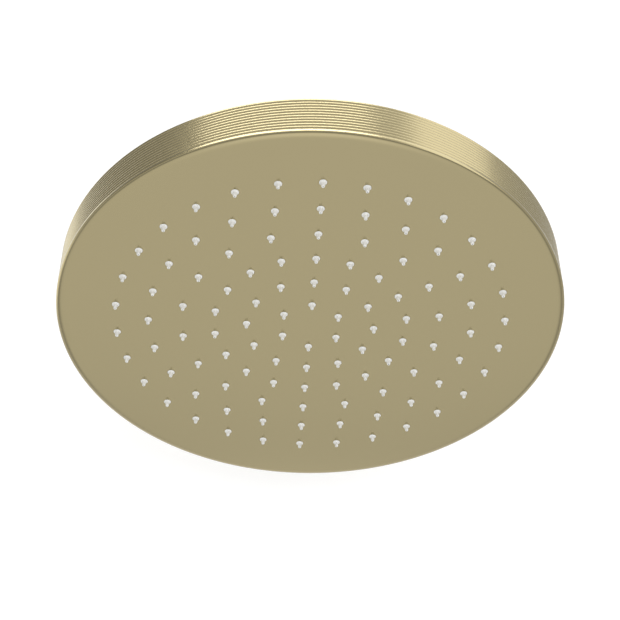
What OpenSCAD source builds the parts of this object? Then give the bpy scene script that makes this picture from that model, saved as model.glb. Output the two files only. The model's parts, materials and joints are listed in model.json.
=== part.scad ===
// Round rain shower head: a ribbed metal shell with soft nozzles, a flat water
// chamber clamped behind them, a domed back cover and a swivel ball inlet.
// The inlet's mouth is the origin and the head hangs below it, face down.
// Head pieces are drawn by height above the face, swivel pieces from the ball's centre.

/* [Head] */
// Diameter of the head over its ribs
head_d = 250; // [200:1:320]
// Depth of the side, from the face to the top edge
head_h = 22.55; // [21:0.05:32]
// Thickness of the face
face_t = 1.6; // [1.2:0.1:2.4]
// Thickness of the side wall behind the ribs
side_t = 2.2; // [1.8:0.1:3]
// How far the rounded lower edge reaches in from the side
edge_in = 3.6; // [2:0.1:4]
// Height of the rounded lower edge above the face
edge_z = 1.55; // [1.2:0.05:2.4]
// Height of the plain band between the lower edge and the first rib's crest
edge_land = 0.95; // [0.4:0.05:2]
// Rounding of the top edge
top_round = 0.2; // [0.1:0.05:0.5]

/* [Ribs] */
// Distance from one rib's crest to the next
rib_pitch = 1.8; // [1.4:0.05:2.6]
// Depth of the grooves between the ribs
rib_h = 0.4; // [0.2:0.05:0.6]

/* [Nozzles] */
// Nozzles in each ring, from the innermost out; a wide head's further rings gain ring_more each
ring_counts = [6, 12, 18, 18, 24, 30];
// Nozzles that each ring past the listed ones gains
ring_more = 6; // [0:1:12]
// Radius of the innermost ring
ring_first = 15.4; // [14:0.1:16.5]
// Distance from one ring to the next
ring_step = 16.135; // [12:0.005:20]
// Turn of the line on which every ring has a nozzle, from the X axis
nozzle_turn = 33.43; // [0:0.01:60]
// Diameter of a nozzle where it leaves the face
nozzle_base_d = 3.6; // [3:0.1:4.4]
// Diameter of a nozzle below its flared base
nozzle_waist_d = 2.2; // [2:0.1:2.8]
// Diameter of a nozzle at its tip
nozzle_tip_d = 1.5; // [1.4:0.1:1.9]
// Height of the flared base
nozzle_flare_h = 0.75; // [0.5:0.05:1]
// How far a nozzle stands out of the face
nozzle_out = 2.8; // [2.2:0.1:3.6]
// Diameter of the jet bore at the tip
jet_d = 0.7; // [0.5:0.05:1.1]
// Diameter of the feed hole behind each nozzle
feed_d = 2.2; // [1.8:0.1:2.6]
// Thickness of the soft mat that carries the nozzles
mat_t = 1.6; // [1.2:0.1:2.2]
// Width of mat outside the last ring of nozzles
mat_margin = 6; // [5:0.1:9]

/* [Water chamber] */
// Thickness of the chamber's mouldings
plate_t = 2; // [1.8:0.1:2.3]
// Depth of the water space
water_h = 4.3; // [3.5:0.1:5]
// Width of the seal's groove
groove_w = 2.2; // [1.8:0.1:2.4]
// Depth of the seal's groove
groove_h = 1.3; // [1:0.1:1.4]
// Height of the stiffening ribs on the lid
lid_rib_h = 4; // [2:0.1:4.5]
// Thickness of the stiffening ribs
lid_rib_t = 1.6; // [1.2:0.1:2.4]
// Number of stiffening ribs
lid_ribs = 12; // [6:6:18]
// Radii of the two ring ribs
lid_ring_r = [42, 72];
// Radius of the boss that takes the neck
lid_boss_r = 18; // [17:0.5:24]

/* [Screws] */
// Number of screws that clamp the chamber
chamber_screws_n = 12; // [6:6:18]
// Number of screws that hold the back cover
cover_screws_n = 6; // [3:3:12]
// Diameter of the screws
screw_d = 2.9; // [2.5:0.1:3.2]
// Diameter of the screw heads
screw_head_d = 5.2; // [4.8:0.1:5.6]
// Radius of the screw bosses
boss_r = 3.2; // [2.8:0.1:3.3]
// Thread length in the bosses
screw_grip = 4.5; // [3.5:0.1:5]

/* [Back cover] */
// Thickness of the back cover
cover_t = 1.5; // [1.2:0.1:2]
// How far the cover lies below the top edge
cover_drop = 0.4; // [0.2:0.1:1]
// Rise of the cover from its rim to its hub
cover_rise = 3; // [2:0.1:8]
// Radius of the cover's flat hub
hub_r = 24; // [23:0.5:32]
// Width of the cover's flat rim
cover_rim_w = 12; // [11:0.5:16]
// Width of the ledge that carries the cover
ledge_w = 0.8; // [0.6:0.1:1]

/* [Neck] */
// Diameter of the threaded end that passes through the cover
spigot_d = 21; // [20:0.1:23]
// Diameter of the water way through the neck
water_d = 14; // [12:0.1:15]
// Distance across the flats of the neck's flange
neck_flats = 34; // [33:0.5:38]
// Thickness of the neck's flange
neck_flange_t = 3; // [2.5:0.1:5]
// Thickness of the gasket under the flange
gasket_t = 1; // [0.8:0.1:2]
// Wall of the threaded insert in the lid's boss
insert_t = 3; // [2.5:0.1:3.5]
// Thickness of the seal below the spigot
neck_seal_t = 1.5; // [1:0.1:2]
// Wall of the cup outside the ball's seal
cup_t = 2.3; // [2:0.1:4]

/* [Swivel] */
// Diameter of the ball
ball_d = 22; // [20:0.1:26]
// Diameter of the stem's neck above the ball
stem_neck_d = 13; // [12:0.1:14]
// Diameter of the stem's bore
stem_bore_d = 8; // [6:0.1:9]
// Furthest tilt about each of the two level axes
tilt_max = 10; // [6:1:12]
// Running clearance between round faces that turn on each other
fit = 0.1; // [0.05:0.01:0.15]
// Thickness of the friction ring
ring_t = 1.5; // [1:0.1:2]
// Thickness of the ball's seal
seal_t = 2; // [1.5:0.1:3]
// Wall of the swivel nut outside its thread
nut_wall = 3.4; // [3:0.1:5]
// Rounding of the swivel nut's shoulder
nut_round = 4.5; // [3:0.1:5]
// Number of flutes around the swivel nut
nut_flutes = 48; // [24:6:72]
// Depth of the flutes
flute_h = 0.4; // [0.2:0.1:0.6]

/* [Inlet] */
// Core diameter of the inlet's half inch pipe thread
thread_core_d = 18.631; // [18.631:0.001:18.7]
// Length of the inlet's thread, above the washer's groove
thread_len = 10; // [9:0.5:16]
// Outer diameter of the inlet's thread, and of the groove that the washer lies in
thread_major_d = 20.955; // [20.955:0.001:21]
// Distance across the flats of the inlet's hexagon
hex_flats = 27; // [26:0.5:32]
// Thickness of the floor under the regulator's pocket
floor_t = 3; // [2.5:0.1:5]
// Diameter of the regulator's pocket
pocket_d = 16.8; // [16:0.1:17.4]
// Height of the flow regulator
regulator_h = 4; // [3.5:0.1:6]
// Thickness of the strainer
strainer_t = 0.5; // [0.4:0.1:1]
// Thickness of the inlet washer
washer_t = 2.4; // [2:0.1:3]
// Inner diameter of the inlet washer
washer_bore_d = 12; // [10:0.1:13]

/* [Hidden] */

// Roundness of the wide turned shapes and of the small ones
$fn = 96;
wide_fn = 240;
small_fn = 32;

// A small overlap that lets cuts run past a face
e = 0.01;
// Gap between a fixed piece and the hole or pocket that it sits in
slip = 0.1;
// Play of a screw in its hole
screw_play = 0.05;

// Side and lower edge
r_side = head_d / 2;
r_root = r_side - rib_h;
r_inner = r_root - side_t;
rib_r = (rib_h * rib_h + rib_pitch * rib_pitch / 4) / (2 * rib_h);
rib_z = edge_z + edge_land;
rib_steps = floor((head_h - rib_z - top_round) / rib_pitch);
edge_steps = 12;
inner_round = 1.6;

// Gaps and lands between the mat and the side
dish_gap = 1;
groove_land = 0.6;
screw_land = 0.9;
post_gap = 1.9;
chamber_gap = 1;
clamp_w = mat_margin + dish_gap + groove_land + groove_w + screw_land + screw_d / 2 + boss_r;
cover_screw_r = r_inner - boss_r - post_gap;

// Nozzles and mat: as many rings as fit inside the clamped rim of the chamber
ring_room = cover_screw_r - boss_r - chamber_gap - clamp_w - ring_first;
rings = 1 + floor(ring_room / ring_step);
ring_last = ring_first + ring_step * (rings - 1);
hole_r = nozzle_base_d / 2 + screw_play;
mat_r = ring_last + mat_margin;
tip_round = 0.35;

// Heights above the face
base_z = face_t + mat_t;
water_z = base_z + plate_t;
lid_z = water_z + water_h;
lid_top = lid_z + plate_t;
flange_z = lid_z - plate_t;
cover_top = head_h - cover_drop;
seat_z = cover_top - cover_t;
hub_top = cover_top + cover_rise;
hub_under = hub_top - cover_t;

// Radii of the chamber, from the mat outwards
dish_r = mat_r + dish_gap;
seal_r = dish_r + groove_land + groove_w / 2;
flange_r = ring_last + clamp_w;
chamber_screw_r = flange_r - boss_r;
cover_r = r_inner + ledge_w;
cover_turn = 180 / chamber_screws_n;
lid_rib_gap = 4;
post_web_t = 1.5;
post_web_drop = 1;
head_h_screw = 1.6;
sink_h = 1.3;

// Neck
spigot_r = spigot_d / 2;
insert_r = spigot_r + insert_t;
shelf_t = 0.8;
shelf_z = lid_top + shelf_t;
spigot_z = shelf_z + neck_seal_t;
insert_rise = 1;
insert_z = spigot_z + insert_rise;
gasket_inset = 1;
gasket_r = neck_flats / 2 - gasket_inset;
neck_bevel = 0.8;

// Swivel, measured from the ball's centre
ball_r = ball_d / 2;
stem_r = stem_neck_d / 2;
bore_r = stem_bore_d / 2;
tilt_both = acos(cos(tilt_max) * cos(tilt_max));
nut_ri = ball_r + fit + ring_t + fit;
seat_r = ball_r + fit + seal_t + fit;
open_a = asin(stem_r / ball_r) + tilt_both + 4.5;
ring_top_a = open_a + 1;
ring_low_a = 87;
seal_top_a = ring_low_a + tilt_max + 5;
seal_low_a = 180 - asin(bore_r / ball_r) - tilt_both - 3;
cup_r = seat_r + cup_t;
cup_drop = 1.5;
cup_top = -cup_drop;
water_r = water_d / 2;
cup_floor = -sqrt(seat_r * seat_r - water_r * water_r);
neck_floor_t = 3.1;
neck_z = cup_floor - neck_floor_t;
nut_thread_r = cup_r + fit;
nut_r = nut_thread_r + nut_wall;
nut_gap = 1;
nut_low = neck_z + neck_flange_t + nut_gap;
cup_play = 0.3;
nut_step = cup_top + cup_play;
nut_corner = nut_r - nut_round;
nut_open_z = nut_ri * cos(open_a);
nut_lip_h = 2.2;
nut_top = nut_open_z + nut_lip_h;
nut_shoulder = nut_top - nut_round;
flute_r = 1.1;
nut_bevel = 0.6;

// Inlet, measured from the ball's centre; the grip clears the nut's shoulder at full tilt
shoulder_z = nut_corner * sin(tilt_both) + nut_shoulder * cos(tilt_both) + nut_round;
grip_gap = 1.2;
grip_z = ceil(10 * (shoulder_z + grip_gap)) / 10;
pocket_z = grip_z + floor_t;
pocket_r = pocket_d / 2;
pocket_h = regulator_h + strainer_t;
washer_z = pocket_z + pocket_h;
thread_z = washer_z + washer_t;
mouth_z = thread_z + thread_len;
thread_r = thread_core_d / 2;
washer_r = thread_r - slip;
washer_bore_r = washer_bore_d / 2;
hex_bevel = 1.2;
stem_flare = 1;
bore_lead = 1;
throat_r = 6.2;
throat_h = 2;

// Flow regulator
reg_r = pocket_r - slip;
reg_wall = 2;
reg_floor = 1;
core_r = 3.1;
core_lobes = 10;
lobe_r = 0.5;
cord_r = 0.95;
cord_ring_r = core_r + lobe_r + cord_r + 0.2;
slot_count = 6;

// Strainer
mesh_pitch = 1.7;
mesh_hole_r = 0.55;
mesh_r = washer_bore_r - 0.3;

// Places of the ball and the face in the part's own frame
ball_z = -mouth_z;
face_z = ball_z + neck_z - gasket_t - hub_top;

gold = [0.66, 0.61, 0.47];
silicone = [0.93, 0.93, 0.91];
moulding = [0.25, 0.26, 0.28];
rubber = [0.09, 0.09, 0.10];
steel = [0.75, 0.75, 0.77];
nylon = [0.88, 0.87, 0.82];

// Copies of a shape set evenly around the axis
module around(n, r, turn = 0) {
    for (k = [0 : n - 1]) {
        rotate(turn + k * 360 / n) translate([r, 0, 0]) children();
    }
}

// Number of nozzles in a ring
function ring_count(i) =
    let (listed = len(ring_counts))
    i < listed ? ring_counts[i] : ring_counts[listed - 1] + ring_more * (i - listed + 1);

// A shape at every nozzle's place
module at_nozzles() {
    for (i = [0 : rings - 1]) {
        around(ring_count(i), ring_first + i * ring_step, nozzle_turn) children();
    }
}

// A ring with a rectangular section
module ring(r_in, r_out, z, h) {
    translate([0, 0, z]) difference() {
        cylinder(r = r_out, h = h);
        translate([0, 0, -e]) cylinder(r = r_in, h = h + 2 * e);
    }
}

// The part of a hollow ball between two angles from the upward axis
module ball_zone(r_in, r_out, a_top, a_low) {
    reach = 2 * r_out;
    a_mid = (a_top + a_low) / 2;
    rotate_extrude() intersection() {
        difference() {
            circle(r = r_out);
            circle(r = r_in);
        }
        polygon([[0, 0],
                 reach * [sin(a_top), cos(a_top)],
                 reach * [sin(a_mid), cos(a_mid)],
                 reach * [sin(a_low), cos(a_low)]]);
    }
}

// Section of the side: an elliptic lower edge, a plain band, round ribs and a top land
module side_section() {
    land_z = rib_z + rib_steps * rib_pitch;
    polygon(concat(
        [[0, 0]],
        [for (i = [0 : edge_steps])
            let (a = 90 * (1 - i / edge_steps))
            [r_side - edge_in * (1 - cos(a)), edge_z * (1 - sin(a))]],
        [[r_side, rib_z], [r_root, rib_z], [r_root, head_h - e], [0, head_h - e]]));
    intersection() {
        for (k = [0 : rib_steps]) {
            translate([r_side - rib_r, rib_z + k * rib_pitch]) circle(r = rib_r, $fn = small_fn);
        }
        translate([r_root - 0.5, rib_z - rib_h]) {
            square([rib_h + 1, land_z - rib_z + 2 * rib_h]);
        }
    }
    polygon([[0, land_z], [r_side, land_z], [r_side, head_h - top_round],
             [r_side - top_round, head_h], [0, head_h]]);
}

// Section of the room inside the shell, with the ledge for the back cover
module room_section() {
    polygon([[0, face_t], [r_inner - inner_round, face_t], [r_inner, face_t + inner_round],
             [r_inner, seat_z], [cover_r + slip, seat_z], [cover_r + slip, head_h + 1],
             [0, head_h + 1]]);
}

module screw_post(top) {
    translate([0, 0, face_t - e]) cylinder(r = boss_r, h = top - face_t + e, $fn = small_fn);
}

module screw_pilot(top) {
    translate([0, 0, top - screw_grip - 0.5]) {
        cylinder(d = screw_d + 2 * screw_play, h = screw_grip + 1, $fn = small_fn);
    }
}

module face_shell() {
    web_l = r_inner - cover_screw_r + 0.5;
    color(gold) translate([0, 0, face_z]) difference() {
        union() {
            rotate_extrude($fn = wide_fn) difference() {
                side_section();
                room_section();
            }
            around(chamber_screws_n, chamber_screw_r) screw_post(flange_z);
            around(cover_screws_n, cover_screw_r, cover_turn) {
                screw_post(seat_z);
                translate([0, -post_web_t / 2, face_t - e]) {
                    cube([web_l, post_web_t, seat_z - face_t - post_web_drop]);
                }
            }
        }
        around(chamber_screws_n, chamber_screw_r) screw_pilot(flange_z);
        around(cover_screws_n, cover_screw_r, cover_turn) screw_pilot(seat_z);
        at_nozzles() translate([0, 0, -e]) cylinder(r = hole_r, h = face_t + 2 * e, $fn = small_fn);
    }
}

// One nozzle, from the mat's underside to its tip, with the face at zero
module nozzle() {
    rotate_extrude($fn = small_fn) polygon([
        [0, face_t + e],
        [nozzle_base_d / 2, face_t + e],
        [nozzle_base_d / 2, 0],
        [nozzle_base_d / 2 - 0.12, -nozzle_flare_h * 0.3],
        [nozzle_waist_d / 2 + 0.16, -nozzle_flare_h * 0.8],
        [nozzle_waist_d / 2, -nozzle_flare_h - 0.15],
        [nozzle_tip_d / 2 + 0.06, -nozzle_out + tip_round],
        [nozzle_tip_d / 2 - 0.12, -nozzle_out + 0.08],
        [nozzle_tip_d / 2 - 0.25, -nozzle_out],
        [0, -nozzle_out]]);
}

// The water way through one nozzle: a wide feed that narrows to the jet
module nozzle_bore() {
    feed_low = -0.4;
    translate([0, 0, -nozzle_out - e]) cylinder(d = jet_d, h = nozzle_out + 1, $fn = small_fn);
    translate([0, 0, feed_low]) {
        cylinder(d1 = jet_d, d2 = feed_d, h = base_z - feed_low + e, $fn = small_fn);
    }
}

module nozzle_mat() {
    color(silicone) translate([0, 0, face_z]) difference() {
        union() {
            translate([0, 0, face_t]) cylinder(r = mat_r, h = mat_t, $fn = wide_fn);
            at_nozzles() nozzle();
        }
        at_nozzles() nozzle_bore();
    }
}

// The dished lower half of the water chamber, which clamps the mat
module chamber_base() {
    color(moulding) translate([0, 0, face_z]) difference() {
        rotate_extrude($fn = wide_fn) difference() {
            polygon([[0, base_z], [dish_r, base_z], [dish_r, flange_z], [flange_r, flange_z],
                     [flange_r, lid_z], [0, lid_z]]);
            translate([-1, water_z]) square([dish_r - plate_t + 1, water_h + 1]);
            translate([seal_r - groove_w / 2, lid_z - groove_h]) square([groove_w, groove_h + 1]);
        }
        around(chamber_screws_n, chamber_screw_r) {
            translate([0, 0, flange_z - e]) {
                cylinder(d = screw_d + 2 * screw_play, h = plate_t + 2 * e, $fn = small_fn);
            }
        }
        at_nozzles() translate([0, 0, base_z - e]) {
            cylinder(d = feed_d, h = plate_t + 2 * e, $fn = small_fn);
        }
    }
}

// The cord seal of the chamber, pressed flat by the lid
module chamber_seal() {
    half = groove_h / 2;
    flat = groove_w - 0.3 - groove_h;
    color(rubber) translate([0, 0, face_z]) rotate_extrude($fn = wide_fn) {
        translate([seal_r, lid_z - half]) {
            square([flat, groove_h], center = true);
            for (s = [-1, 1]) {
                translate([s * flat / 2, 0]) circle(r = half, $fn = small_fn);
            }
        }
    }
}

// The upper half of the water chamber, with ribs and the boss for the neck
module chamber_lid() {
    rib_out = dish_r - lid_rib_gap;
    color(moulding) translate([0, 0, face_z]) difference() {
        union() {
            translate([0, 0, lid_z]) cylinder(r = flange_r, h = plate_t, $fn = wide_fn);
            translate([0, 0, lid_top - e]) cylinder(r = lid_boss_r, h = hub_under - lid_top + e);
            for (r = lid_ring_r) {
                ring(r - lid_rib_t / 2, r + lid_rib_t / 2, lid_top - e, lid_rib_h + e);
            }
            for (k = [0 : lid_ribs - 1]) {
                rotate(k * 360 / lid_ribs) translate([lid_boss_r - 1, -lid_rib_t / 2, lid_top - e]) {
                    cube([rib_out - lid_boss_r + 1, lid_rib_t, lid_rib_h + e]);
                }
            }
        }
        translate([0, 0, lid_z - e]) cylinder(r = water_r, h = plate_t + shelf_t + 2 * e);
        translate([0, 0, shelf_z]) cylinder(r = spigot_r + slip, h = hub_under);
        translate([0, 0, insert_z]) cylinder(r = insert_r, h = hub_under);
        around(chamber_screws_n, chamber_screw_r) {
            translate([0, 0, lid_z - e]) {
                cylinder(d = screw_d + 2 * screw_play, h = plate_t + 2 * e, $fn = small_fn);
            }
        }
    }
}

// A round headed screw, standing on the face that it clamps
module pan_screw(shank_l) {
    difference() {
        union() {
            translate([0, 0, -shank_l]) cylinder(d = screw_d, h = shank_l + e, $fn = small_fn);
            intersection() {
                cylinder(d = screw_head_d, h = head_h_screw, $fn = small_fn);
                translate([0, 0, head_h_screw - screw_head_d * 0.8]) {
                    sphere(r = screw_head_d * 0.8, $fn = small_fn);
                }
            }
        }
        cross_recess(head_h_screw);
    }
}

// A countersunk screw with its top at zero
module flat_screw(shank_l) {
    difference() {
        union() {
            translate([0, 0, -shank_l]) cylinder(d = screw_d, h = shank_l - sink_h + e, $fn = small_fn);
            translate([0, 0, -sink_h]) {
                cylinder(d1 = screw_d, d2 = screw_head_d, h = sink_h, $fn = small_fn);
            }
        }
        cross_recess(0);
    }
}

module cross_recess(top) {
    arm = screw_head_d * 0.55;
    for (a = [0, 90]) {
        rotate(a) translate([-arm / 2, -0.35, top - 1]) cube([arm, 0.7, 1 + e]);
    }
}

module chamber_screws() {
    color(steel) translate([0, 0, face_z]) {
        around(chamber_screws_n, chamber_screw_r) {
            translate([0, 0, lid_top]) pan_screw(2 * plate_t + screw_grip);
        }
    }
}

// Height of the cover above its rim, on a smooth curve from rim to hub
function cover_lift(r, r_rim) =
    r <= hub_r ? cover_rise : r >= r_rim ? 0
    : cover_rise * (1 + cos(180 * (r - hub_r) / (r_rim - hub_r))) / 2;

module back_cover() {
    r_rim = cover_r - cover_rim_w;
    steps = 24;
    curve = [for (i = [0 : steps])
        let (r = r_rim + (hub_r - r_rim) * i / steps)
        [r, cover_lift(r, r_rim)]];
    over = concat([[cover_r, 0]], curve, [[0, cover_rise]]);
    top_line = [for (p = over) [p[0], p[1] + cover_top]];
    low_line = [for (i = [len(over) - 1 : -1 : 0]) [over[i][0], over[i][1] + seat_z]];
    color(gold) translate([0, 0, face_z]) difference() {
        rotate_extrude($fn = wide_fn) polygon(concat(top_line, low_line));
        translate([0, 0, hub_under - 1]) cylinder(r = spigot_r + slip, h = cover_t + 2);
        around(cover_screws_n, cover_screw_r, cover_turn) {
            translate([0, 0, seat_z - e]) {
                cylinder(d = screw_d + 2 * screw_play, h = cover_t + 1, $fn = small_fn);
            }
            translate([0, 0, cover_top - sink_h]) {
                cylinder(d1 = screw_d + 2 * screw_play, d2 = screw_head_d + 2 * screw_play,
                         h = sink_h + e, $fn = small_fn);
            }
        }
    }
}

module cover_screws() {
    color(gold) translate([0, 0, face_z]) {
        around(cover_screws_n, cover_screw_r, cover_turn) {
            translate([0, 0, cover_top]) flat_screw(cover_t + screw_grip);
        }
    }
}

// The threaded metal insert moulded into the lid's boss
module boss_insert() {
    color([0.72, 0.60, 0.33]) translate([0, 0, face_z]) {
        ring(spigot_r + screw_play, insert_r, insert_z, hub_under - insert_z);
    }
}

module neck_seal() {
    color(rubber) translate([0, 0, face_z]) {
        ring(water_r, spigot_r, shelf_z, neck_seal_t);
    }
}

module neck_gasket() {
    color(rubber) translate([0, 0, face_z]) {
        ring(spigot_r + slip, gasket_r, hub_top, gasket_t);
    }
}

// The swivel's fixed half: a spigot into the head, a flange and a round seat
module neck() {
    spigot_l = hub_top + gasket_t - spigot_z;
    color(gold) translate([0, 0, ball_z]) difference() {
        union() {
            translate([0, 0, neck_z - spigot_l]) cylinder(r = spigot_r, h = spigot_l + e);
            translate([0, 0, neck_z]) bevelled_hex(neck_flats, neck_flange_t, neck_bevel);
            translate([0, 0, neck_z + neck_flange_t - e]) {
                cylinder(r = cup_r, h = cup_top - neck_z - neck_flange_t + e);
            }
        }
        sphere(r = seat_r);
        translate([0, 0, neck_z - spigot_l - e]) cylinder(r = water_r, h = spigot_l - neck_z);
    }
}

// A six sided block with its corners turned off at both ends
module bevelled_hex(flats, h, bevel) {
    corner_r = flats / (2 * cos(30));
    intersection() {
        cylinder(r = corner_r, h = h, $fn = 6);
        union() {
            cylinder(r1 = corner_r - bevel, r2 = corner_r, h = bevel / 2);
            translate([0, 0, bevel / 2]) cylinder(r = corner_r, h = h - bevel);
            translate([0, 0, h - bevel / 2]) cylinder(r1 = corner_r, r2 = corner_r - bevel, h = bevel / 2);
        }
    }
}

// The fluted nut that holds the ball in its seat
module swivel_nut() {
    color(gold) translate([0, 0, ball_z]) difference() {
        rotate_extrude() difference() {
            union() {
                polygon([[0, nut_low], [nut_r - nut_bevel, nut_low], [nut_r, nut_low + nut_bevel],
                         [nut_r, nut_shoulder], [nut_corner, nut_top], [0, nut_top]]);
                translate([nut_corner, nut_shoulder]) circle(r = nut_round);
            }
            circle(r = nut_ri);
            polygon([[0, nut_low - 1], [nut_thread_r, nut_low - 1], [nut_thread_r, nut_step],
                     [nut_ri, nut_step], [nut_ri, 0], [0, 0]]);
            polygon([[0, 0], [nut_ri * sin(open_a), nut_open_z],
                     [nut_ri * sin(open_a) + 1, nut_top + 1], [0, nut_top + 1]]);
        }
        around(nut_flutes, nut_r + flute_r - flute_h) {
            translate([0, 0, nut_low - 1]) cylinder(r = flute_r, h = nut_shoulder - nut_low - 1, $fn = 24);
        }
    }
}

module friction_ring() {
    color(nylon) translate([0, 0, ball_z]) {
        ball_zone(ball_r + fit, ball_r + fit + ring_t, ring_top_a, ring_low_a);
    }
}

module ball_seal() {
    color(rubber) translate([0, 0, ball_z]) {
        ball_zone(ball_r + fit, ball_r + fit + seal_t, seal_top_a, seal_low_a);
    }
}

// The swivel's moving half: the ball, its neck and the threaded hexagon
module ball_stem() {
    grip_h = mouth_z - grip_z;
    color(gold) translate([0, 0, ball_z]) difference() {
        union() {
            sphere(r = ball_r);
            cylinder(r = stem_r, h = grip_z + e);
            translate([0, 0, grip_z - stem_flare]) {
                cylinder(r1 = stem_r, r2 = stem_r + stem_flare, h = stem_flare + e);
            }
            translate([0, 0, grip_z]) bevelled_hex(hex_flats, grip_h, hex_bevel);
        }
        translate([0, 0, -ball_r - bore_lead]) cylinder(r = bore_r, h = ball_r + mouth_z);
        translate([0, 0, -ball_r - e]) {
            cylinder(r1 = bore_r + bore_lead, r2 = bore_r, h = 2 * bore_lead);
        }
        translate([0, 0, pocket_z - throat_h]) cylinder(r1 = bore_r, r2 = throat_r, h = throat_h + e);
        translate([0, 0, pocket_z]) cylinder(r = pocket_r, h = mouth_z);
        translate([0, 0, washer_z]) cylinder(r = thread_major_d / 2, h = washer_t);
        translate([0, 0, thread_z - e]) cylinder(r = thread_r, h = mouth_z);
    }
}

// The regulator's moulding: a rim, a slotted floor and a lobed core
module flow_regulator() {
    slot_in = core_r + lobe_r;
    slot_out = reg_r - reg_wall;
    color(nylon) translate([0, 0, ball_z + pocket_z]) difference() {
        union() {
            ring(slot_out, reg_r, 0, regulator_h);
            cylinder(r = reg_r - 1, h = reg_floor);
            cylinder(r = core_r, h = regulator_h - 1);
            around(core_lobes, core_r) cylinder(r = lobe_r, h = regulator_h - 1.4, $fn = small_fn);
        }
        for (k = [0 : slot_count - 1]) {
            rotate(k * 360 / slot_count) translate([(slot_in + slot_out) / 2, 0, -e]) {
                cylinder(r = (slot_out - slot_in) / 2 - 0.3, h = reg_floor + 2 * e, $fn = small_fn);
            }
        }
    }
}

// The soft ring that narrows the water way as the pressure rises
module regulator_ring() {
    color(rubber) translate([0, 0, ball_z + pocket_z + reg_floor + cord_r]) {
        rotate_extrude() translate([cord_ring_r, 0]) circle(r = cord_r, $fn = small_fn);
    }
}

module strainer() {
    rows = floor(mesh_r / mesh_pitch) + 1;
    color(steel) translate([0, 0, ball_z + washer_z - strainer_t]) difference() {
        cylinder(r = pocket_r - slip, h = strainer_t);
        for (i = [-rows : rows], j = [-rows : rows]) {
            x = (i + j / 2) * mesh_pitch;
            y = j * mesh_pitch * sin(60);
            if (norm([x, y]) < mesh_r - mesh_hole_r) {
                translate([x, y, -e]) cylinder(r = mesh_hole_r, h = strainer_t + 2 * e, $fn = 16);
            }
        }
    }
}

module inlet_washer() {
    color(rubber) translate([0, 0, ball_z]) {
        ring(washer_bore_r, washer_r, washer_z, washer_t);
    }
}

face_shell();
nozzle_mat();
chamber_base();
chamber_seal();
chamber_lid();
chamber_screws();
back_cover();
cover_screws();
boss_insert();
neck_seal();
neck_gasket();
neck();
swivel_nut();
friction_ring();
ball_seal();
ball_stem();
flow_regulator();
regulator_ring();
strainer();
inlet_washer();
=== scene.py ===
import json
import math

import bmesh
import bpy
from mathutils import Matrix, Vector


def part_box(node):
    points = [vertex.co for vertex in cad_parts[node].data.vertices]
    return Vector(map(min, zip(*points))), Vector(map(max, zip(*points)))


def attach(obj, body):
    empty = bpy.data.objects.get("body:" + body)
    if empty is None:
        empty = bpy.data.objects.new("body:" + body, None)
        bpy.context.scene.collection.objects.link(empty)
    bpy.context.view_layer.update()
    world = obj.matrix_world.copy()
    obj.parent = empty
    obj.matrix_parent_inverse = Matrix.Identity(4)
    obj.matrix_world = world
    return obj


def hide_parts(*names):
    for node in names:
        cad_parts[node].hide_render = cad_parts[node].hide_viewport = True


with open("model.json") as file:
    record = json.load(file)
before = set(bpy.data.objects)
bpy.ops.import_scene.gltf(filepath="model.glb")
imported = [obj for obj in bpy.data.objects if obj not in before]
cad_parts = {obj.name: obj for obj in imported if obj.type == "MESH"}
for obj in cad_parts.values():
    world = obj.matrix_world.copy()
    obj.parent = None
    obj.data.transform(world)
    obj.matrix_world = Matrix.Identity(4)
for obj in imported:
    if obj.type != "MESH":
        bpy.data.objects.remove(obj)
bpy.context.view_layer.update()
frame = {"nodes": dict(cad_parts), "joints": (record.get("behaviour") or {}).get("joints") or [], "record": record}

MM = 0.001

# Sizes of the head, in millimetres, with heights above the face
SHELL_LOW, SHELL_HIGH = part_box("face_shell")
SIDE_R = SHELL_HIGH.x / MM
FACE_Z = SHELL_LOW.z / MM
HEAD_H = (SHELL_HIGH.z - SHELL_LOW.z) / MM
FACE_T = 1.6
EDGE_IN = 3.6
EDGE_H = 1.55
EDGE_LAND = 0.95
RIB_PITCH = 1.8
RIB_DEPTH = 0.4
TOP_ROUND = 0.2
WALL_T = 2.2
ROOT_R = SIDE_R - RIB_DEPTH
INNER_R = ROOT_R - WALL_T
INNER_ROUND = 1.6
FLAT_BAND = 0.6

# Nozzles
RING_COUNTS = [6, 12, 18, 18, 24, 30]
RING_FIRST = 15.4
RING_STEP = 16.135
NOZZLE_TURN = 33.43
NOZZLE_R = 1.8
WAIST_R = 1.1
TIP_R = 0.75
FLARE_H = 0.9
NOZZLE_OUT = 2.8
TIP_ROUND = 0.35
JET_R = 0.35
FEED_R = 1.1
FEED_LOW = -0.4
HOLE_R = 1.85
HOLE_EASE = 0.1
MAT_LOW = FACE_T
MAT_HIGH = 3.2
MAT_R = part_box("nozzle_mat")[1].x / MM

# Back cover and its screws
COVER_LOW_BOX, COVER_HIGH_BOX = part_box("back_cover")
COVER_R = COVER_HIGH_BOX.x / MM
HUB_TOP = COVER_HIGH_BOX.z / MM - FACE_Z
SEAT_Z = COVER_LOW_BOX.z / MM - FACE_Z
COVER_T = 1.5
COVER_TOP = SEAT_Z + COVER_T
COVER_RISE = HUB_TOP - COVER_TOP
HUB_R = 24
RIM_W = 12
COVER_HOLE_R = 10.6
COVER_SCREWS = 6
COVER_SCREW_R = INNER_R - 5.1
COVER_SCREW_TURN = 15
CHAMBER_SCREWS = 12
CHAMBER_SCREW_R = MAT_R + 6.15
CHAMBER_POST_TOP = 7.5
POST_R = 3.2
PILOT_R = 1.5
PILOT_DEPTH = 5
SCREW_R = 1.45
SCREW_HEAD_R = 2.6
SCREW_SINK = 1.3
SCREW_LENGTH = 6

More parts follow.
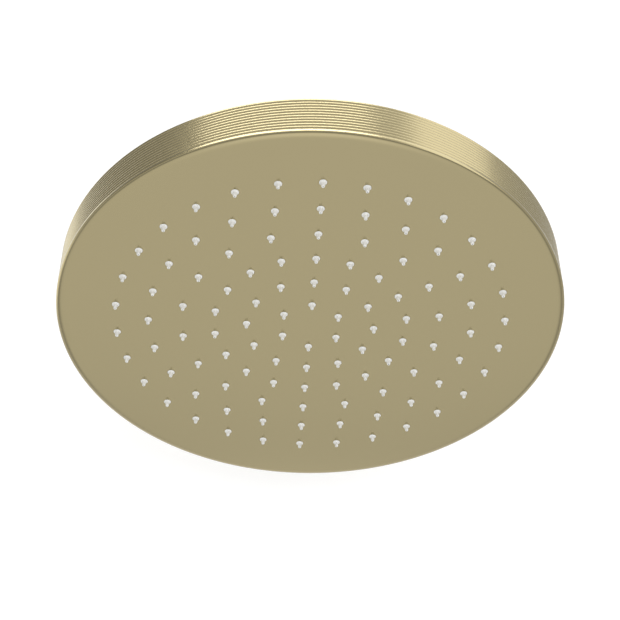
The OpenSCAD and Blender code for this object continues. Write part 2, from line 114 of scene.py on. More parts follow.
# Neck, nut and stem, with heights from the ball's centre
BALL_Z = frame["joints"][0]["pos_m"][2] / MM
BALL_R = 11
SEAT_R = 13.2
CUP_R = 15.5
CUP_TOP = -1.5
NECK_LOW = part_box("neck")[0].z / MM - BALL_Z
FLANGE_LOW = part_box("neck_gasket")[1].z / MM - BALL_Z
FLANGE_T = 3
FLANGE_HALF = 17
FLANGE_BEVEL = 0.8
SPIGOT_R = 10.5
WATER_R = 7
NUT_LOW_BOX, NUT_HIGH_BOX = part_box("swivel_nut")
NUT_LOW = NUT_LOW_BOX.z / MM - BALL_Z
NUT_TOP = NUT_HIGH_BOX.z / MM - BALL_Z
NUT_R = 19
NUT_ROUND = 4.5
NUT_CORNER = NUT_R - NUT_ROUND
NUT_SHOULDER = NUT_TOP - NUT_ROUND
NUT_BEVEL = 0.6
NUT_BORE_R = 15.6
NUT_SEAT_R = 12.7
NUT_OPEN = 54.83
NUT_LIP = 2.2
NUT_STEP = -1.2
FLUTES = 48
FLUTE_R = 1.1
FLUTE_DEPTH = 0.4
STEM_R = 6.5
STEM_BORE_R = 4
GRIP_Z = 14.1
GRIP_HALF = 13.5
GRIP_BEVEL = 1.2
MOUTH_Z = -BALL_Z
THREAD_Z = 24
THREAD_R = 10.4775
THREAD_CORE_R = 9.3155
THREAD_PITCH = 1.814
WASHER_Z = 21.6
POCKET_Z = 17.1
POCKET_R = 8.4
THROAT_R = 6.2
THROAT_H = 2


def mode(name):
    bpy.ops.object.mode_set(mode=name)


def pick(*objects):
    """Selects these objects alone, and makes the first one active."""
    bpy.ops.object.select_all(action="DESELECT")
    for one in objects:
        one.select_set(True)
    bpy.context.view_layer.objects.active = objects[0]


def join(name, *objects):
    pick(*objects)
    bpy.ops.object.join()
    objects[0].name = name
    objects[0].data.name = name
    return objects[0]


def arc(r, z, radius, start, end, steps):
    """Points of an outline along an arc, its angles in degrees from straight out, upwards."""
    angles = [math.radians(start + (end - start) * i / steps) for i in range(steps + 1)]
    return [(r + radius * math.cos(a), z + radius * math.sin(a)) for a in angles]


def raised(outline, z):
    return [(r, h + z) for r, h in outline]


def turned(name, outline, segments=96, closed=False):
    """A piece turned on the upward axis from an outline of radius and height in millimetres."""
    points = [Vector((r * MM, 0, z * MM)) for r, z in outline]
    bpy.ops.object.select_all(action="DESELECT")
    bpy.ops.mesh.primitive_plane_add(size=MM)
    piece = bpy.context.object
    piece.name = piece.data.name = name
    mode("EDIT")
    bpy.ops.mesh.select_mode(type="VERT")
    bpy.ops.mesh.merge(type="CENTER")
    bpy.ops.transform.translate(value=points[0])
    for a, b in zip(points, points[1:]):
        bpy.ops.mesh.extrude_region_move(TRANSFORM_OT_translate={"value": b - a})
    if closed:
        mesh = bmesh.from_edit_mesh(piece.data)
        mesh.verts.ensure_lookup_table()
        mesh.verts[0].select = mesh.verts[-1].select = True
        bmesh.update_edit_mesh(piece.data)
        bpy.ops.mesh.edge_face_add()
    bpy.ops.mesh.select_all(action="SELECT")
    bpy.ops.mesh.spin(steps=segments, angle=2 * math.pi, center=(0, 0, 0), axis=(0, 0, 1))
    bpy.ops.mesh.select_all(action="SELECT")
    bpy.ops.mesh.remove_doubles(threshold=0.001 * MM)
    bpy.ops.mesh.normals_make_consistent(inside=False)
    mode("OBJECT")
    return piece


def around(count, radius, turn=0):
    """Places set evenly on a circle, as radius and angle."""
    return [(radius, turn + 360 * k / count) for k in range(count)]


def nozzle_places():
    places = []
    for ring, count in enumerate(RING_COUNTS):
        places += around(count, RING_FIRST + ring * RING_STEP, NOZZLE_TURN)
    return places


def copies(piece, places):
    """Copies of a piece, each with its own mesh, moved out and turned to each place."""
    made = []
    for radius, angle in places:
        one = piece.copy()
        one.data = piece.data.copy()
        bpy.context.collection.objects.link(one)
        turn = Matrix.Rotation(math.radians(angle), 4, "Z")
        one.matrix_world = turn @ Matrix.Translation((radius * MM, 0, 0)) @ piece.matrix_world
        made.append(one)
    bpy.data.objects.remove(piece)
    return made


def fill_level(piece, z):
    """Closes the sheet between all the open edges that lie at one height."""
    pick(piece)
    mode("EDIT")
    bpy.ops.mesh.select_mode(type="EDGE")
    bpy.ops.mesh.select_all(action="DESELECT")
    mesh = bmesh.from_edit_mesh(piece.data)
    for edge in mesh.edges:
        level = all(abs(v.co.z - z * MM) < 0.005 * MM for v in edge.verts)
        edge.select = level and edge.is_boundary
    bmesh.update_edit_mesh(piece.data)
    bpy.ops.mesh.fill(use_beauty=True)
    mode("OBJECT")


def raise_by(piece, z):
    """Moves a piece up from its own zero height, in its mesh."""
    pick(piece)
    mode("EDIT")
    bpy.ops.mesh.select_all(action="SELECT")
    bpy.ops.transform.translate(value=(0, 0, z * MM))
    mode("OBJECT")
    return piece


def finish_mesh(piece, angle=32):
    """Points the faces outwards, joins what meets, and smooths all but the sharp edges."""
    pick(piece)
    mode("EDIT")
    bpy.ops.mesh.select_all(action="SELECT")
    bpy.ops.mesh.remove_doubles(threshold=0.001 * MM)
    bpy.ops.mesh.normals_make_consistent(inside=False)
    mode("OBJECT")
    bpy.ops.object.shade_smooth_by_angle(angle=math.radians(angle))
    return piece


def cut(piece, tool, operation="DIFFERENCE"):
    """Cuts a piece with a tool, or joins the two, and removes the tool."""
    pick(piece)
    change = piece.modifiers.new("cut", "BOOLEAN")
    change.operation = operation
    change.solver = "EXACT"
    change.object = tool
    bpy.ops.object.modifier_apply(modifier=change.name)
    bpy.data.objects.remove(tool)
    return piece


def bevelled_hex(name, half, low, high, bevel):
    """A six sided block with its corners turned off at both ends."""
    corner = half / math.cos(math.radians(30))
    bpy.ops.object.select_all(action="DESELECT")
    bpy.ops.mesh.primitive_cylinder_add(
        vertices=6, radius=corner * MM, depth=(high - low) * MM,
        location=(0, 0, (low + high) / 2 * MM), rotation=(0, 0, math.radians(90)))
    block = bpy.context.object
    block.name = name
    bpy.ops.object.transform_apply(location=True, rotation=True, scale=True)
    turned_off = turned("corner", [
        (0, low), (corner - bevel, low), (corner + 0.01, low + bevel / 2),
        (corner + 0.01, high - bevel / 2), (corner - bevel, high), (0, high)])
    return cut(block, turned_off, "INTERSECT")


def side_outline():
    """The side from the flat face over the lower edge, the ribs and the top to the floor inside."""
    rib_r = (RIB_DEPTH ** 2 + RIB_PITCH ** 2 / 4) / (2 * RIB_DEPTH)
    slope = math.degrees(math.asin(RIB_PITCH / 2 / rib_r))
    first_z = EDGE_H + EDGE_LAND
    ribs = int((HEAD_H - first_z - TOP_ROUND) / RIB_PITCH)
    edge_steps = 14
    outline = [(SIDE_R - EDGE_IN - FLAT_BAND, 0)]
    for i in range(edge_steps):
        a = math.radians(90 * (1 - i / edge_steps))
        outline.append((SIDE_R - EDGE_IN * (1 - math.cos(a)), EDGE_H * (1 - math.sin(a))))
    outline += [(SIDE_R, EDGE_H)]
    outline += arc(SIDE_R - rib_r, first_z, rib_r, 0, slope, 4)
    for k in range(1, ribs):
        outline += arc(SIDE_R - rib_r, first_z + k * RIB_PITCH, rib_r, -slope, slope, 8)[1:]
    outline += arc(SIDE_R - rib_r, first_z + ribs * RIB_PITCH, rib_r, -slope, 0, 4)[1:]
    outline += [(SIDE_R, HEAD_H - TOP_ROUND)]
    outline += arc(SIDE_R - TOP_ROUND, HEAD_H - TOP_ROUND, TOP_ROUND, 0, 90, 3)[1:]
    ledge_r = COVER_R + 0.1
    outline += [(ledge_r, HEAD_H), (ledge_r, SEAT_Z), (INNER_R, SEAT_Z)]
    corner = arc(INNER_R - INNER_ROUND, FACE_T + INNER_ROUND, INNER_ROUND, 0, -90, 5)
    outline += corner + [(INNER_R - INNER_ROUND - FLAT_BAND, FACE_T)]
    return outline


def post(top):
    """A screw post on the shell's floor, with its pilot hole."""
    return turned("post", [
        (POST_R, FACE_T), (POST_R, top), (PILOT_R, top), (PILOT_R, top - PILOT_DEPTH),
        (0, top - PILOT_DEPTH)], 24)


def make_shell():
    rim = turned("face_shell_skin", side_outline(), 288)
    hole = turned("hole", [(HOLE_R + HOLE_EASE, 0), (HOLE_R, HOLE_EASE), (HOLE_R, FACE_T)], 20)
    parts = copies(hole, nozzle_places())
    parts += copies(post(CHAMBER_POST_TOP), around(CHAMBER_SCREWS, CHAMBER_SCREW_R))
    parts += copies(post(SEAT_Z), around(COVER_SCREWS, COVER_SCREW_R, COVER_SCREW_TURN))
    shell = join("face_shell_skin", rim, *parts)
    fill_level(shell, 0)
    fill_level(shell, FACE_T)
    return finish_mesh(raise_by(shell, FACE_Z))


def nozzle_outline():
    """One nozzle from the mat over its flared base, cone and round tip, and up its bore."""
    outline = [(NOZZLE_R, MAT_LOW), (NOZZLE_R, 0)]
    flare_steps = 4
    for i in range(1, flare_steps + 1):
        t = i / flare_steps
        outline.append((NOZZLE_R - (NOZZLE_R - WAIST_R) * math.sin(t * math.pi / 2) ** 1.3,
                        -FLARE_H * (1 - math.cos(t * math.pi / 2)) ** 0.9))
    outline += arc(TIP_R - TIP_ROUND + 0.06, -NOZZLE_OUT + TIP_ROUND, TIP_ROUND, 8, -82, 4)
    outline += [(JET_R, -NOZZLE_OUT + 0.02), (JET_R, FEED_LOW), (FEED_R, MAT_HIGH)]
    return outline


def make_mat():
    edge = turned("nozzle_mat_skin", [
        (MAT_R - FLAT_BAND, MAT_LOW), (MAT_R - 0.2, MAT_LOW), (MAT_R, MAT_LOW + 0.2),
        (MAT_R, MAT_HIGH - 0.2), (MAT_R - 0.2, MAT_HIGH), (MAT_R - FLAT_BAND, MAT_HIGH)], 144)
    parts = copies(turned("nozzle", nozzle_outline(), 20), nozzle_places())
    mat = join("nozzle_mat_skin", edge, *parts)
    fill_level(mat, MAT_LOW)
    fill_level(mat, MAT_HIGH)
    return finish_mesh(raise_by(mat, FACE_Z), 40)


def cover_curve(steps=28):
    """Top of the cover from its flat rim up to the hub, as radius and rise."""
    rim_r = COVER_R - RIM_W
    radii = [rim_r + (HUB_R - rim_r) * i / steps for i in range(steps + 1)]
    return [(r, COVER_RISE * (1 + math.cos(math.pi * (r - HUB_R) / (rim_r - HUB_R))) / 2)
            for r in radii]


def make_cover():
    band_r = COVER_R - RIM_W + FLAT_BAND
    curve = [(band_r, 0)] + cover_curve() + [(COVER_HOLE_R + 0.3, COVER_RISE)]
    dome = raised(curve, COVER_TOP) + [(COVER_HOLE_R, HUB_TOP - 0.3)]
    dome += raised(reversed(curve[:-1] + [(COVER_HOLE_R, COVER_RISE)]), SEAT_Z)
    middle = turned("cover_middle", dome, 192)
    lip = turned("back_cover_skin", [
        (COVER_R - FLAT_BAND, COVER_TOP), (COVER_R - 0.25, COVER_TOP),
        (COVER_R - 0.07, COVER_TOP - 0.07), (COVER_R, COVER_TOP - 0.25),
        (COVER_R, SEAT_Z + 0.15), (COVER_R - 0.15, SEAT_Z), (COVER_R - FLAT_BAND, SEAT_Z)], 192)
    sink = turned("sink", [
        (SCREW_HEAD_R + 0.1, COVER_TOP), (PILOT_R, COVER_TOP - SCREW_SINK), (PILOT_R, SEAT_Z)], 32)
    sinks = copies(sink, around(COVER_SCREWS, COVER_SCREW_R, COVER_SCREW_TURN))
    cover = join("back_cover_skin", lip, middle, *sinks)
    fill_level(cover, COVER_TOP)
    fill_level(cover, SEAT_Z)
    return finish_mesh(raise_by(cover, FACE_Z))


def cross_tool(top):
    """The shape of a cross recess, its arms narrower towards the bottom."""
    arms = []
    for angle in (0, 90):
        bpy.ops.object.select_all(action="DESELECT")
        bpy.ops.mesh.primitive_cube_add(size=1, location=(0, 0, (top - 0.45) * MM))
        arm = bpy.context.object
        arm.scale = (2.86 * MM, 0.72 * MM, 1.1 * MM)
        arm.rotation_euler = (0, 0, math.radians(angle))
        bpy.ops.object.transform_apply(location=True, rotation=True, scale=True)
        mode("EDIT")
        bpy.ops.mesh.select_all(action="DESELECT")
        mesh = bmesh.from_edit_mesh(arm.data)
        for face in mesh.faces:
            face.select = face.normal.z < -0.5
        bmesh.update_edit_mesh(arm.data)
        bpy.ops.transform.resize(value=(0.6, 0.6, 1))
        mode("OBJECT")
        arms.append(arm)
    return cut(arms[0], arms[1], "UNION")


def make_cover_screws():
    thread = []
    turns = 7
    for k in range(turns):
        z = -SCREW_LENGTH + 0.35 + k * 0.6
        thread += [(SCREW_R - 0.22, z - 0.15), (SCREW_R, z + 0.15)]
    screw = turned("cover_screw", [(0, -SCREW_LENGTH), (SCREW_R - 0.3, -SCREW_LENGTH)] + thread + [
        (SCREW_R - 0.05, -SCREW_SINK), (SCREW_HEAD_R, -0.12), (SCREW_HEAD_R - 0.05, -0.03),
        (SCREW_HEAD_R - 0.15, 0), (0, 0)], 32)
    cut(screw, cross_tool(0))
    parts = copies(screw, around(COVER_SCREWS, COVER_SCREW_R, COVER_SCREW_TURN))
    screws = join("cover_screws_skin", *parts)
    bpy.ops.object.transform_apply(location=True, rotation=True, scale=True)
    return finish_mesh(raise_by(screws, FACE_Z + COVER_TOP))


def make_neck():
    floor_z = -math.sqrt(SEAT_R ** 2 - WATER_R ** 2)
    start = math.degrees(math.atan2(floor_z, WATER_R))
    stop = math.degrees(math.atan2(CUP_TOP, math.sqrt(SEAT_R ** 2 - CUP_TOP ** 2)))
    body = turned("neck_skin", [
        (WATER_R, NECK_LOW + 0.4), (WATER_R + 0.4, NECK_LOW), (SPIGOT_R - 0.5, NECK_LOW),
        (SPIGOT_R, NECK_LOW + 0.5), (SPIGOT_R, FLANGE_LOW), (CUP_R, FLANGE_LOW),
        (CUP_R, CUP_TOP - 0.3), (CUP_R - 0.3, CUP_TOP)]
        + arc(0, 0, SEAT_R, stop, start, 14), 96, closed=True)
    flange = bevelled_hex("flange", FLANGE_HALF, FLANGE_LOW, FLANGE_LOW + FLANGE_T, FLANGE_BEVEL)
    bore = turned("bore", [(0, FLANGE_LOW - 1), (SPIGOT_R + 2, FLANGE_LOW - 1),
                           (SPIGOT_R + 2, FLANGE_LOW + FLANGE_T + 1),
                           (0, FLANGE_LOW + FLANGE_T + 1)])
    cut(body, cut(flange, bore), "UNION")
    return finish_mesh(raise_by(body, BALL_Z), 25)


def make_nut():
    open_a = math.radians(NUT_OPEN)
    open_r, open_z = NUT_SEAT_R * math.sin(open_a), NUT_SEAT_R * math.cos(open_a)
    body = turned("swivel_nut_skin", [
        (NUT_BORE_R, NUT_LOW), (NUT_R - NUT_BEVEL, NUT_LOW), (NUT_R, NUT_LOW + NUT_BEVEL)]
        + arc(NUT_CORNER, NUT_SHOULDER, NUT_ROUND, 0, 90, 10)
        + [(open_r + 1.1, NUT_TOP), (open_r + 0.8, NUT_TOP - 0.2), (open_r, open_z)]
        + arc(0, 0, NUT_SEAT_R, 90 - NUT_OPEN, 0, 8)[1:]
        + [(NUT_SEAT_R, NUT_STEP), (NUT_BORE_R, NUT_STEP)], 192, closed=True)
    flute_top = NUT_SHOULDER - 2
    flute = turned("flute", [(0, NUT_LOW - 1), (FLUTE_R, NUT_LOW - 1)]
                   + arc(0, flute_top - FLUTE_R, FLUTE_R, 0, 90, 5), 20)
    flutes = copies(flute, around(FLUTES, NUT_R + FLUTE_R - FLUTE_DEPTH))
    tool = join("flutes", *flutes)
    pick(tool)
    bpy.ops.object.transform_apply(location=True, rotation=True, scale=True)
    cut(body, tool)
    return finish_mesh(raise_by(body, BALL_Z), 30)


def thread_ridge():
    """The inlet's thread: a ridge wound along the wall of the mouth."""
    half = THREAD_PITCH / 2
    section = [(THREAD_R + 0.05, -half * 0.92), (THREAD_CORE_R + 0.3, -half * 0.42),
               (THREAD_CORE_R + 0.08, -half * 0.24), (THREAD_CORE_R, 0),
               (THREAD_CORE_R + 0.08, half * 0.24), (THREAD_CORE_R + 0.3, half * 0.42),
               (THREAD_R + 0.05, half * 0.92)]
    bpy.ops.object.select_all(action="DESELECT")
    bpy.ops.mesh.primitive_plane_add(size=MM)
    ridge = bpy.context.object
    mode("EDIT")
    bpy.ops.mesh.select_mode(type="VERT")
    bpy.ops.mesh.merge(type="CENTER")
    points = [Vector((r * MM, 0, (z + THREAD_Z + half + 0.05) * MM)) for r, z in section]
    bpy.ops.transform.translate(value=points[0])
    for a, b in zip(points, points[1:]):
        bpy.ops.mesh.extrude_region_move(TRANSFORM_OT_translate={"value": b - a})
    bpy.ops.mesh.select_all(action="SELECT")
    bpy.ops.mesh.edge_face_add()
    mode("OBJECT")
    turns = (MOUTH_Z - THREAD_Z - THREAD_PITCH - 0.5) / THREAD_PITCH
    wind = ridge.modifiers.new("wind", "SCREW")
    wind.axis = "Z"
    wind.angle = 2 * math.pi * turns
    wind.screw_offset = THREAD_PITCH * turns * MM
    wind.steps = wind.render_steps = int(64 * turns)
    wind.use_merge_vertices = False
    pick(ridge)
    bpy.ops.object.modifier_apply(modifier=wind.name)
    return ridge


def make_stem():
    low_r = STEM_BORE_R + 1
    low_a = -math.degrees(math.acos(low_r / BALL_R))
    neck_a = math.degrees(math.acos(STEM_R / BALL_R))
    core_r = GRIP_HALF - 0.1
    bore_r = THREAD_R
    body = turned("ball_stem_skin",
        arc(0, 0, BALL_R, low_a, neck_a, 28)
        + [(STEM_R, GRIP_Z - 1), (STEM_R + 1, GRIP_Z), (core_r, GRIP_Z), (core_r, MOUTH_Z),
           (bore_r + 0.4, MOUTH_Z), (bore_r, MOUTH_Z - 0.4), (bore_r, WASHER_Z),
           (POCKET_R, WASHER_Z), (POCKET_R, POCKET_Z), (THROAT_R, POCKET_Z),
           (STEM_BORE_R, POCKET_Z - THROAT_H), (STEM_BORE_R, 2 - BALL_R)], 96, closed=True)
    grip = bevelled_hex("grip", GRIP_HALF, GRIP_Z, MOUTH_Z, GRIP_BEVEL)
    hollow_r = core_r - 1
    hollow = turned("hollow", [(0, GRIP_Z - 1), (hollow_r, GRIP_Z - 1),
                               (hollow_r, MOUTH_Z + 1), (0, MOUTH_Z + 1)])
    cut(body, cut(grip, hollow), "UNION")
    stem = join("ball_stem_skin", body, thread_ridge())
    return finish_mesh(raise_by(stem, BALL_Z), 25)


# Materials
def make_group(name, inputs, outputs):
    """An empty node group with named number inputs, each with its first value, and outputs."""
    group = bpy.data.node_groups.new(name, "ShaderNodeTree")
    for label, value in inputs.items():
        socket = group.interface.new_socket(label, in_out="INPUT", socket_type="NodeSocketFloat")
        socket.default_value = value
    for label, kind in outputs.items():
        group.interface.new_socket(label, in_out="OUTPUT", socket_type=kind)
    return group, group.nodes.new("NodeGroupInput"), group.nodes.new("NodeGroupOutput")


def node(tree, kind, **settings):
    made = tree.nodes.new(kind)
    for label, value in settings.items():
        setattr(made, label, value)
    return made


def math_node(tree, operation, a, b=0.5, c=0.0):
    """A Math node whose inputs are numbers or other nodes' outputs."""
    made = node(tree, "ShaderNodeMath", operation=operation)
    for socket, value in zip(made.inputs, (a, b, c)):
        if isinstance(value, (int, float)):
            socket.default_value = value
        else:
            tree.links.new(value, socket)
    return made.outputs[0]


def build_grain_group():
    """Fine grain: a roughness that varies a little, and a height for a Bump node."""
    group, inputs, outputs = make_group(
        "fine_grain", {"Grain Scale": 4000.0, "Roughness": 0.3, "Spread": 0.05},
        {"Roughness": "NodeSocketFloat", "Height": "NodeSocketFloat"})
    where = node(group, "ShaderNodeTexCoord")
    fine = node(group, "ShaderNodeTexNoise", noise_dimensions="3D")
    fine.inputs["Detail"].default_value = 3
    group.links.new(where.outputs["Object"], fine.inputs["Vector"])
    group.links.new(inputs.outputs["Grain Scale"], fine.inputs["Scale"])
    broad = node(group, "ShaderNodeTexNoise", noise_dimensions="3D")
    broad.inputs["Scale"].default_value = 35
    broad.inputs["Detail"].default_value = 4
    group.links.new(where.outputs["Object"], broad.inputs["Vector"])
    both = math_node(group, "ADD", fine.outputs[0], broad.outputs[0])
    centred = math_node(group, "SUBTRACT", both, 1.0)
    spread = math_node(group, "MULTIPLY", centred, inputs.outputs["Spread"])
    rough = math_node(group, "ADD", spread, inputs.outputs["Roughness"])
    group.links.new(rough, outputs.inputs["Roughness"])
    group.links.new(fine.outputs[0], outputs.inputs["Height"])
    return group


def build_turning_group():
    """Fine circles around the axis, as a lathe or a rotary brush leaves them."""
    group, inputs, outputs = make_group(
        "turning_marks", {"Marks per Metre": 9000.0, "Depth": 1.0}, {"Height": "NodeSocketFloat"})
    where = node(group, "ShaderNodeTexCoord")
    parts = node(group, "ShaderNodeSeparateXYZ")
    group.links.new(where.outputs["Object"], parts.inputs[0])
    x2 = math_node(group, "MULTIPLY", parts.outputs[0], parts.outputs[0])
    y2 = math_node(group, "MULTIPLY", parts.outputs[1], parts.outputs[1])
    radius = math_node(group, "SQRT", math_node(group, "ADD", x2, y2))
    along = math_node(group, "ADD", radius, parts.outputs[2])
    scaled = math_node(group, "MULTIPLY", along, inputs.outputs["Marks per Metre"])
    marks = node(group, "ShaderNodeTexNoise", noise_dimensions="1D")
    marks.inputs["Scale"].default_value = 1
    marks.inputs["Detail"].default_value = 2
    group.links.new(scaled, marks.inputs["W"])
    height = math_node(group, "MULTIPLY", marks.outputs[0], inputs.outputs["Depth"])
    group.links.new(height, outputs.inputs["Height"])
    return group


def linear(red, green, blue):
    """A colour written as 0 to 255 in the usual display values."""
    parts = [c / 255 for c in (red, green, blue)]
    return [c / 12.92 if c <= 0.04045 else ((c + 0.055) / 1.055) ** 2.4 for c in parts] + [1.0]


def build_material(name, colour, roughness, spread, grain, bump, marks=0.0, tint=0.04, **plain):
    """A material with fine grain, a slight change of tone, and turning marks where asked."""
    material = bpy.data.materials.new(name)
    material.use_nodes = True
    tree = material.node_tree
    shader = tree.nodes["Principled BSDF"]
    for label, value in plain.items():
        shader.inputs[label.replace("_", " ")].default_value = value
    fine = node(tree, "ShaderNodeGroup", node_tree=GRAIN)
    fine.inputs["Grain Scale"].default_value = grain
    fine.inputs["Roughness"].default_value = roughness
    fine.inputs["Spread"].default_value = spread
    tree.links.new(fine.outputs["Roughness"], shader.inputs["Roughness"])
    where = node(tree, "ShaderNodeTexCoord")
    tone = node(tree, "ShaderNodeTexNoise")
    tone.inputs["Scale"].default_value = 18
    tone.inputs["Detail"].default_value = 3
    tree.links.new(where.outputs["Object"], tone.inputs["Vector"])
    mix = node(tree, "ShaderNodeMix", data_type="RGBA")
    mix.inputs["A"].default_value = [c * (1 - tint) for c in colour[:3]] + [1.0]
    mix.inputs["B"].default_value = [c * (1 + tint) for c in colour[:3]] + [1.0]
    tree.links.new(tone.outputs[0], mix.inputs["Factor"])
    tree.links.new(mix.outputs["Result"], shader.inputs["Base Color"])
    height = fine.outputs["Height"]
    if marks:
        turning = node(tree, "ShaderNodeGroup", node_tree=TURNING)
        turning.inputs["Depth"].default_value = marks
        height = math_node(tree, "ADD", height, turning.outputs["Height"])
    relief = node(tree, "ShaderNodeBump")
    relief.inputs["Strength"].default_value = bump
    relief.inputs["Distance"].default_value = 0.01 * MM
    tree.links.new(height, relief.inputs["Height"])
    tree.links.new(relief.outputs["Normal"], shader.inputs["Normal"])
    return material


GRAIN = build_grain_group()
TURNING = build_turning_group()
CHAMPAGNE = linear(168, 157, 122)
MATERIALS = {
    "gold_shell": build_material(
        "satin_champagne_shell", CHAMPAGNE, 0.22, 0.03, 2600, 0.10, tint=0.008, Metallic=1.0),
    "gold_cover": build_material(
        "satin_champagne_cover", CHAMPAGNE, 0.32, 0.05, 2600, 0.12, marks=0.6, tint=0.01,
        Metallic=1.0),
    "gold_fitting": build_material(
        "champagne_fittings", CHAMPAGNE, 0.26, 0.05, 3000, 0.12, marks=0.8, tint=0.01,
        Metallic=1.0),
    "raw_brass": build_material(
        "turned_brass", linear(200, 160, 92), 0.28, 0.08, 3000, 0.2, marks=1.0, Metallic=1.0),
    "white_silicone": build_material(
        "white_silicone", linear(240, 240, 237), 0.42, 0.06, 1800, 0.15, tint=0.01),
    "grey_moulding": build_material(
        "dark_grey_moulding", linear(64, 66, 71), 0.55, 0.12, 900, 0.6),
    "pale_nylon": build_material(
        "pale_nylon", linear(224, 221, 209), 0.48, 0.08, 1200, 0.3),
    "black_rubber": build_material(
        "black_rubber", linear(30, 30, 32), 0.62, 0.12, 1500, 0.5, tint=0.12),
    "bright_steel": build_material(
        "plain_steel", linear(198, 199, 203), 0.24, 0.08, 3000, 0.2, marks=0.6, Metallic=1.0),
}


def dress(piece, slot, body, *nodes):
    """Gives a made piece its finish and its body, and hides the nodes that it stands for."""
    piece.data.materials.clear()
    piece.data.materials.append(MATERIALS[slot])
    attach(piece, body)
    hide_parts(*nodes)


dress(make_shell(), "gold_shell", "head", "face_shell")
dress(make_mat(), "white_silicone", "head", "nozzle_mat")
dress(make_cover(), "gold_cover", "head", "back_cover")
dress(make_cover_screws(), "gold_fitting", "head", "cover_screws")
dress(make_neck(), "gold_fitting", "head", "neck")
dress(make_nut(), "gold_fitting", "head", "swivel_nut")
dress(make_stem(), "gold_fitting", "inlet", "ball_stem")

for part in frame["record"]["subparts"]:
    kept = frame["nodes"][part["node"]]
    kept.data.materials.clear()
    kept.data.materials.append(MATERIALS[part["material_slot"]])


# Camera, at the photograph's place below and in front of the head
VIEW_UP = 41.72
VIEW_DISTANCE = 0.7120
TARGET = Vector((0, 0, (FACE_Z - 1.27) * MM))
LOOK = Vector((0, math.cos(math.radians(VIEW_UP)), math.sin(math.radians(VIEW_UP))))
PHOTO_SIZE = 620
FOCAL_PIXELS = 1439.604
CENTRE_PIXEL = (310.2, 327.95)

camera_data = bpy.data.cameras.new("camera")
camera = bpy.data.objects.new("camera", camera_data)
bpy.context.collection.objects.link(camera)
camera.location = TARGET - LOOK * VIEW_DISTANCE
camera.rotation_euler = LOOK.to_track_quat("-Z", "Y").to_euler()
camera_data.sensor_width = 36
camera_data.lens = FOCAL_PIXELS * camera_data.sensor_width / PHOTO_SIZE
camera_data.shift_x = (PHOTO_SIZE / 2 - CENTRE_PIXEL[0]) / PHOTO_SIZE
camera_data.shift_y = (CENTRE_PIXEL[1] - PHOTO_SIZE / 2) / PHOTO_SIZE
camera_data.clip_start = 0.01
camera_data.clip_end = 50
bpy.context.scene.camera = camera


def plane(name, centre, normal, width, height):
    bpy.ops.object.select_all(action="DESELECT")
    bpy.ops.mesh.primitive_plane_add(size=1)
    made = bpy.context.object
    made.name = name
    made.scale = (width, height, 1)
    made.rotation_euler = Vector(normal).to_track_quat("Z", "Y").to_euler()
    made.location = centre
    bpy.ops.object.transform_apply(location=True, rotation=True, scale=True)
    return made


def camera_choice(tree, others, seen):
    """Shows one surface to the camera and another to all other rays."""
    path = node(tree, "ShaderNodeLightPath")
    choice = node(tree, "ShaderNodeMixShader")
    tree.links.new(path.outputs["Is Camera Ray"], choice.inputs["Fac"])
    tree.links.new(others, choice.inputs[1])
    tree.links.new(seen, choice.inputs[2])
    return choice.outputs[0]


def stage_material(name, build_painted_glow, glow_strength):
    """White cloth to the camera, darker only in shadow; a glow to other rays, which is painted light in a pattern
    where one is built and an even glow of 1 otherwise; clear behind.
    """
    material = bpy.data.materials.new(name)
    material.use_nodes = True
    tree = material.node_tree
    tree.nodes.remove(tree.nodes["Principled BSDF"])
    cloth = node(tree, "ShaderNodeBsdfDiffuse")
    cloth.inputs["Color"].default_value = (0.8, 0.8, 0.8, 1)
    glow = node(tree, "ShaderNodeEmission")
    glow.inputs["Strength"].default_value = glow_strength
    both = node(tree, "ShaderNodeAddShader")
    tree.links.new(cloth.outputs[0], both.inputs[0])
    tree.links.new(glow.outputs[0], both.inputs[1])
    glow_to_other_rays = node(tree, "ShaderNodeEmission")
    # Painted light: the glow that other rays see follows the built pattern, here the floor's
    if build_painted_glow:
        tree.links.new(build_painted_glow(tree), glow_to_other_rays.inputs["Strength"])
    front = camera_choice(tree, glow_to_other_rays.outputs[0], both.outputs[0])
    back = node(tree, "ShaderNodeNewGeometry")
    clear = node(tree, "ShaderNodeBsdfTransparent")
    sided = node(tree, "ShaderNodeMixShader")
    tree.links.new(back.outputs["Backfacing"], sided.inputs["Fac"])
    tree.links.new(front, sided.inputs[1])
    tree.links.new(clear.outputs[0], sided.inputs[2])
    tree.links.new(sided.outputs[0], tree.nodes["Material Output"].inputs["Surface"])
    return material


def step_between(tree, value, start, stop, low, high):
    """A smooth change from one level to another while a value goes from start to stop."""
    level = node(tree, "ShaderNodeMapRange", interpolation_type="SMOOTHSTEP")
    level.inputs["From Min"].default_value = start
    level.inputs["From Max"].default_value = stop
    level.inputs["To Min"].default_value = low
    level.inputs["To Max"].default_value = high
    tree.links.new(value, level.inputs["Value"])
    return level.outputs["Result"]


def painted_floor_light(tree):
    """Painted light on the floor, seen by all rays but the camera's: a wide pool below the head, brightest right
    under it, with a darker painted ring around the pool and more painted light far out.
    """
    where = node(tree, "ShaderNodeTexCoord")

    def away_from(centre):
        away = node(tree, "ShaderNodeVectorMath", operation="DISTANCE")
        away.inputs[1].default_value = centre
        tree.links.new(where.outputs["Object"], away.inputs[0])
        return away.outputs["Value"]

    wide = away_from((0, 0.35, FLOOR_Z))
    # Painted pool of light, fading into a darker painted ring
    painted_light_pool = step_between(tree, wide, 0.60, 0.95, 1.0, 0.42)
    # Painted light again beyond the darker ring
    painted_far_light = step_between(tree, wide, 1.20, 1.60, 0.0, 0.45)
    # Painted extra light just in front of the spot under the head, on the camera's side
    painted_near_light = step_between(tree, away_from((0, -0.12, FLOOR_Z)), 0.05, 0.42, 0.40, 0.0)
    return math_node(tree, "ADD", math_node(tree, "ADD", painted_light_pool, painted_far_light), painted_near_light)


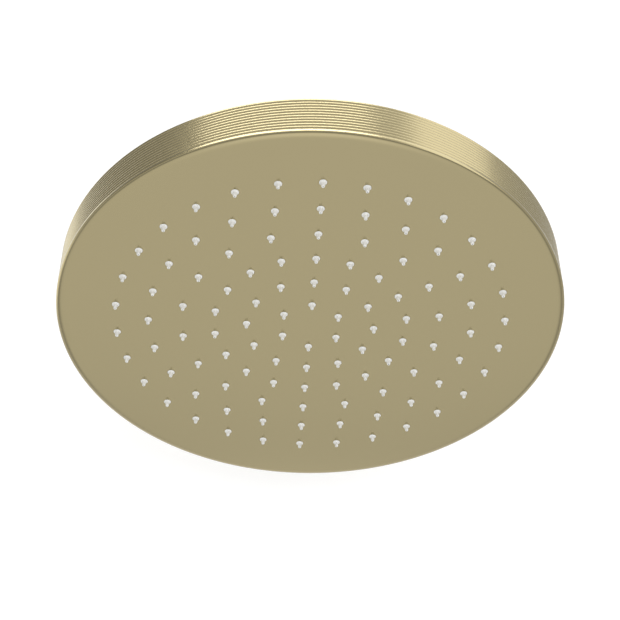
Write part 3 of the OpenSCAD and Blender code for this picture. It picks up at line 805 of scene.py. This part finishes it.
FLOOR_Z = -0.75
BACKDROP_AWAY = 0.135
# The floor, white to the camera, with painted light in its glow to all other rays
floor = plane("floor", (0, 0, FLOOR_Z), (0, 0, 1), 12, 12)
floor.data.materials.append(stage_material("white_floor_painted_glow", painted_floor_light, 0.30))
backdrop = plane("backdrop", TARGET + LOOK * BACKDROP_AWAY, -LOOK, 0.46, 0.50)
backdrop.data.materials.append(stage_material("white_backdrop", None, 0.30))


def world_level(tree):
    """White all around, with a dark corner to the left and a grey one behind to the right."""
    where = node(tree, "ShaderNodeTexCoord")
    flat = node(tree, "ShaderNodeVectorMath", operation="MULTIPLY")
    flat.inputs[1].default_value = (1, 1, 0)
    tree.links.new(where.outputs["Generated"], flat.inputs[0])
    heading = node(tree, "ShaderNodeVectorMath", operation="NORMALIZE")
    tree.links.new(flat.outputs["Vector"], heading.inputs[0])

    def corner(azimuth, inner, outer, depth):
        along = node(tree, "ShaderNodeVectorMath", operation="DOT_PRODUCT")
        a = math.radians(azimuth)
        along.inputs[1].default_value = (math.cos(a), math.sin(a), 0)
        tree.links.new(heading.outputs["Vector"], along.inputs[0])
        return step_between(tree, along.outputs["Value"], math.cos(math.radians(outer)),
                            math.cos(math.radians(inner)), 0.0, depth)

    dark = math_node(tree, "ADD", corner(-166, 14, 38, 0.62), corner(22, 16, 44, 0.34))
    return math_node(tree, "SUBTRACT", 1.0, dark)


world = bpy.data.worlds.new("studio")
bpy.context.scene.world = world
world.use_nodes = True
tree = world.node_tree
around_light = tree.nodes["Background"]
around_light.inputs["Color"].default_value = (1, 1, 1, 1)
tree.links.new(world_level(tree), around_light.inputs["Strength"])
white = node(tree, "ShaderNodeBackground")
white.inputs["Color"].default_value = (1, 1, 1, 1)
tree.links.new(camera_choice(tree, around_light.outputs[0], white.outputs[0]),
               tree.nodes["World Output"].inputs["Surface"])


def lamp(name, azimuth, elevation, width, height, strength, distance=3.0, mirrored=True):
    """A soft box that faces the head; azimuth from +X towards +Y, sizes in degrees."""
    a, e = math.radians(azimuth), math.radians(elevation)
    away = Vector((math.cos(a) * math.cos(e), math.sin(a) * math.cos(e), math.sin(e)))
    data = bpy.data.lights.new(name, "AREA")
    data.shape = "RECTANGLE"
    data.size = 2 * distance * math.tan(math.radians(width / 2))
    data.size_y = 2 * distance * math.tan(math.radians(height / 2))
    data.energy = strength * math.pi * data.size * data.size_y
    made = bpy.data.objects.new(name, data)
    bpy.context.collection.objects.link(made)
    made.location = TARGET + away * distance
    made.rotation_euler = away.to_track_quat("Z", "Y").to_euler()
    made.visible_camera = False
    made.visible_glossy = mirrored
    return made


lamp("front_box", -100, 42, 56, 24, 4.5)
lamp("right_box", -37, 10, 32, 104, 1.05, distance=0.95)
lamp("left_box", 154, 18, 28, 88, 0.72, distance=1.1)
lamp("fill_box", -92, -24, 24, 40, 2.0, distance=1.2, mirrored=False)

scene = bpy.context.scene
scene.view_settings.view_transform = "Standard"

bpy.context.view_layer.update()
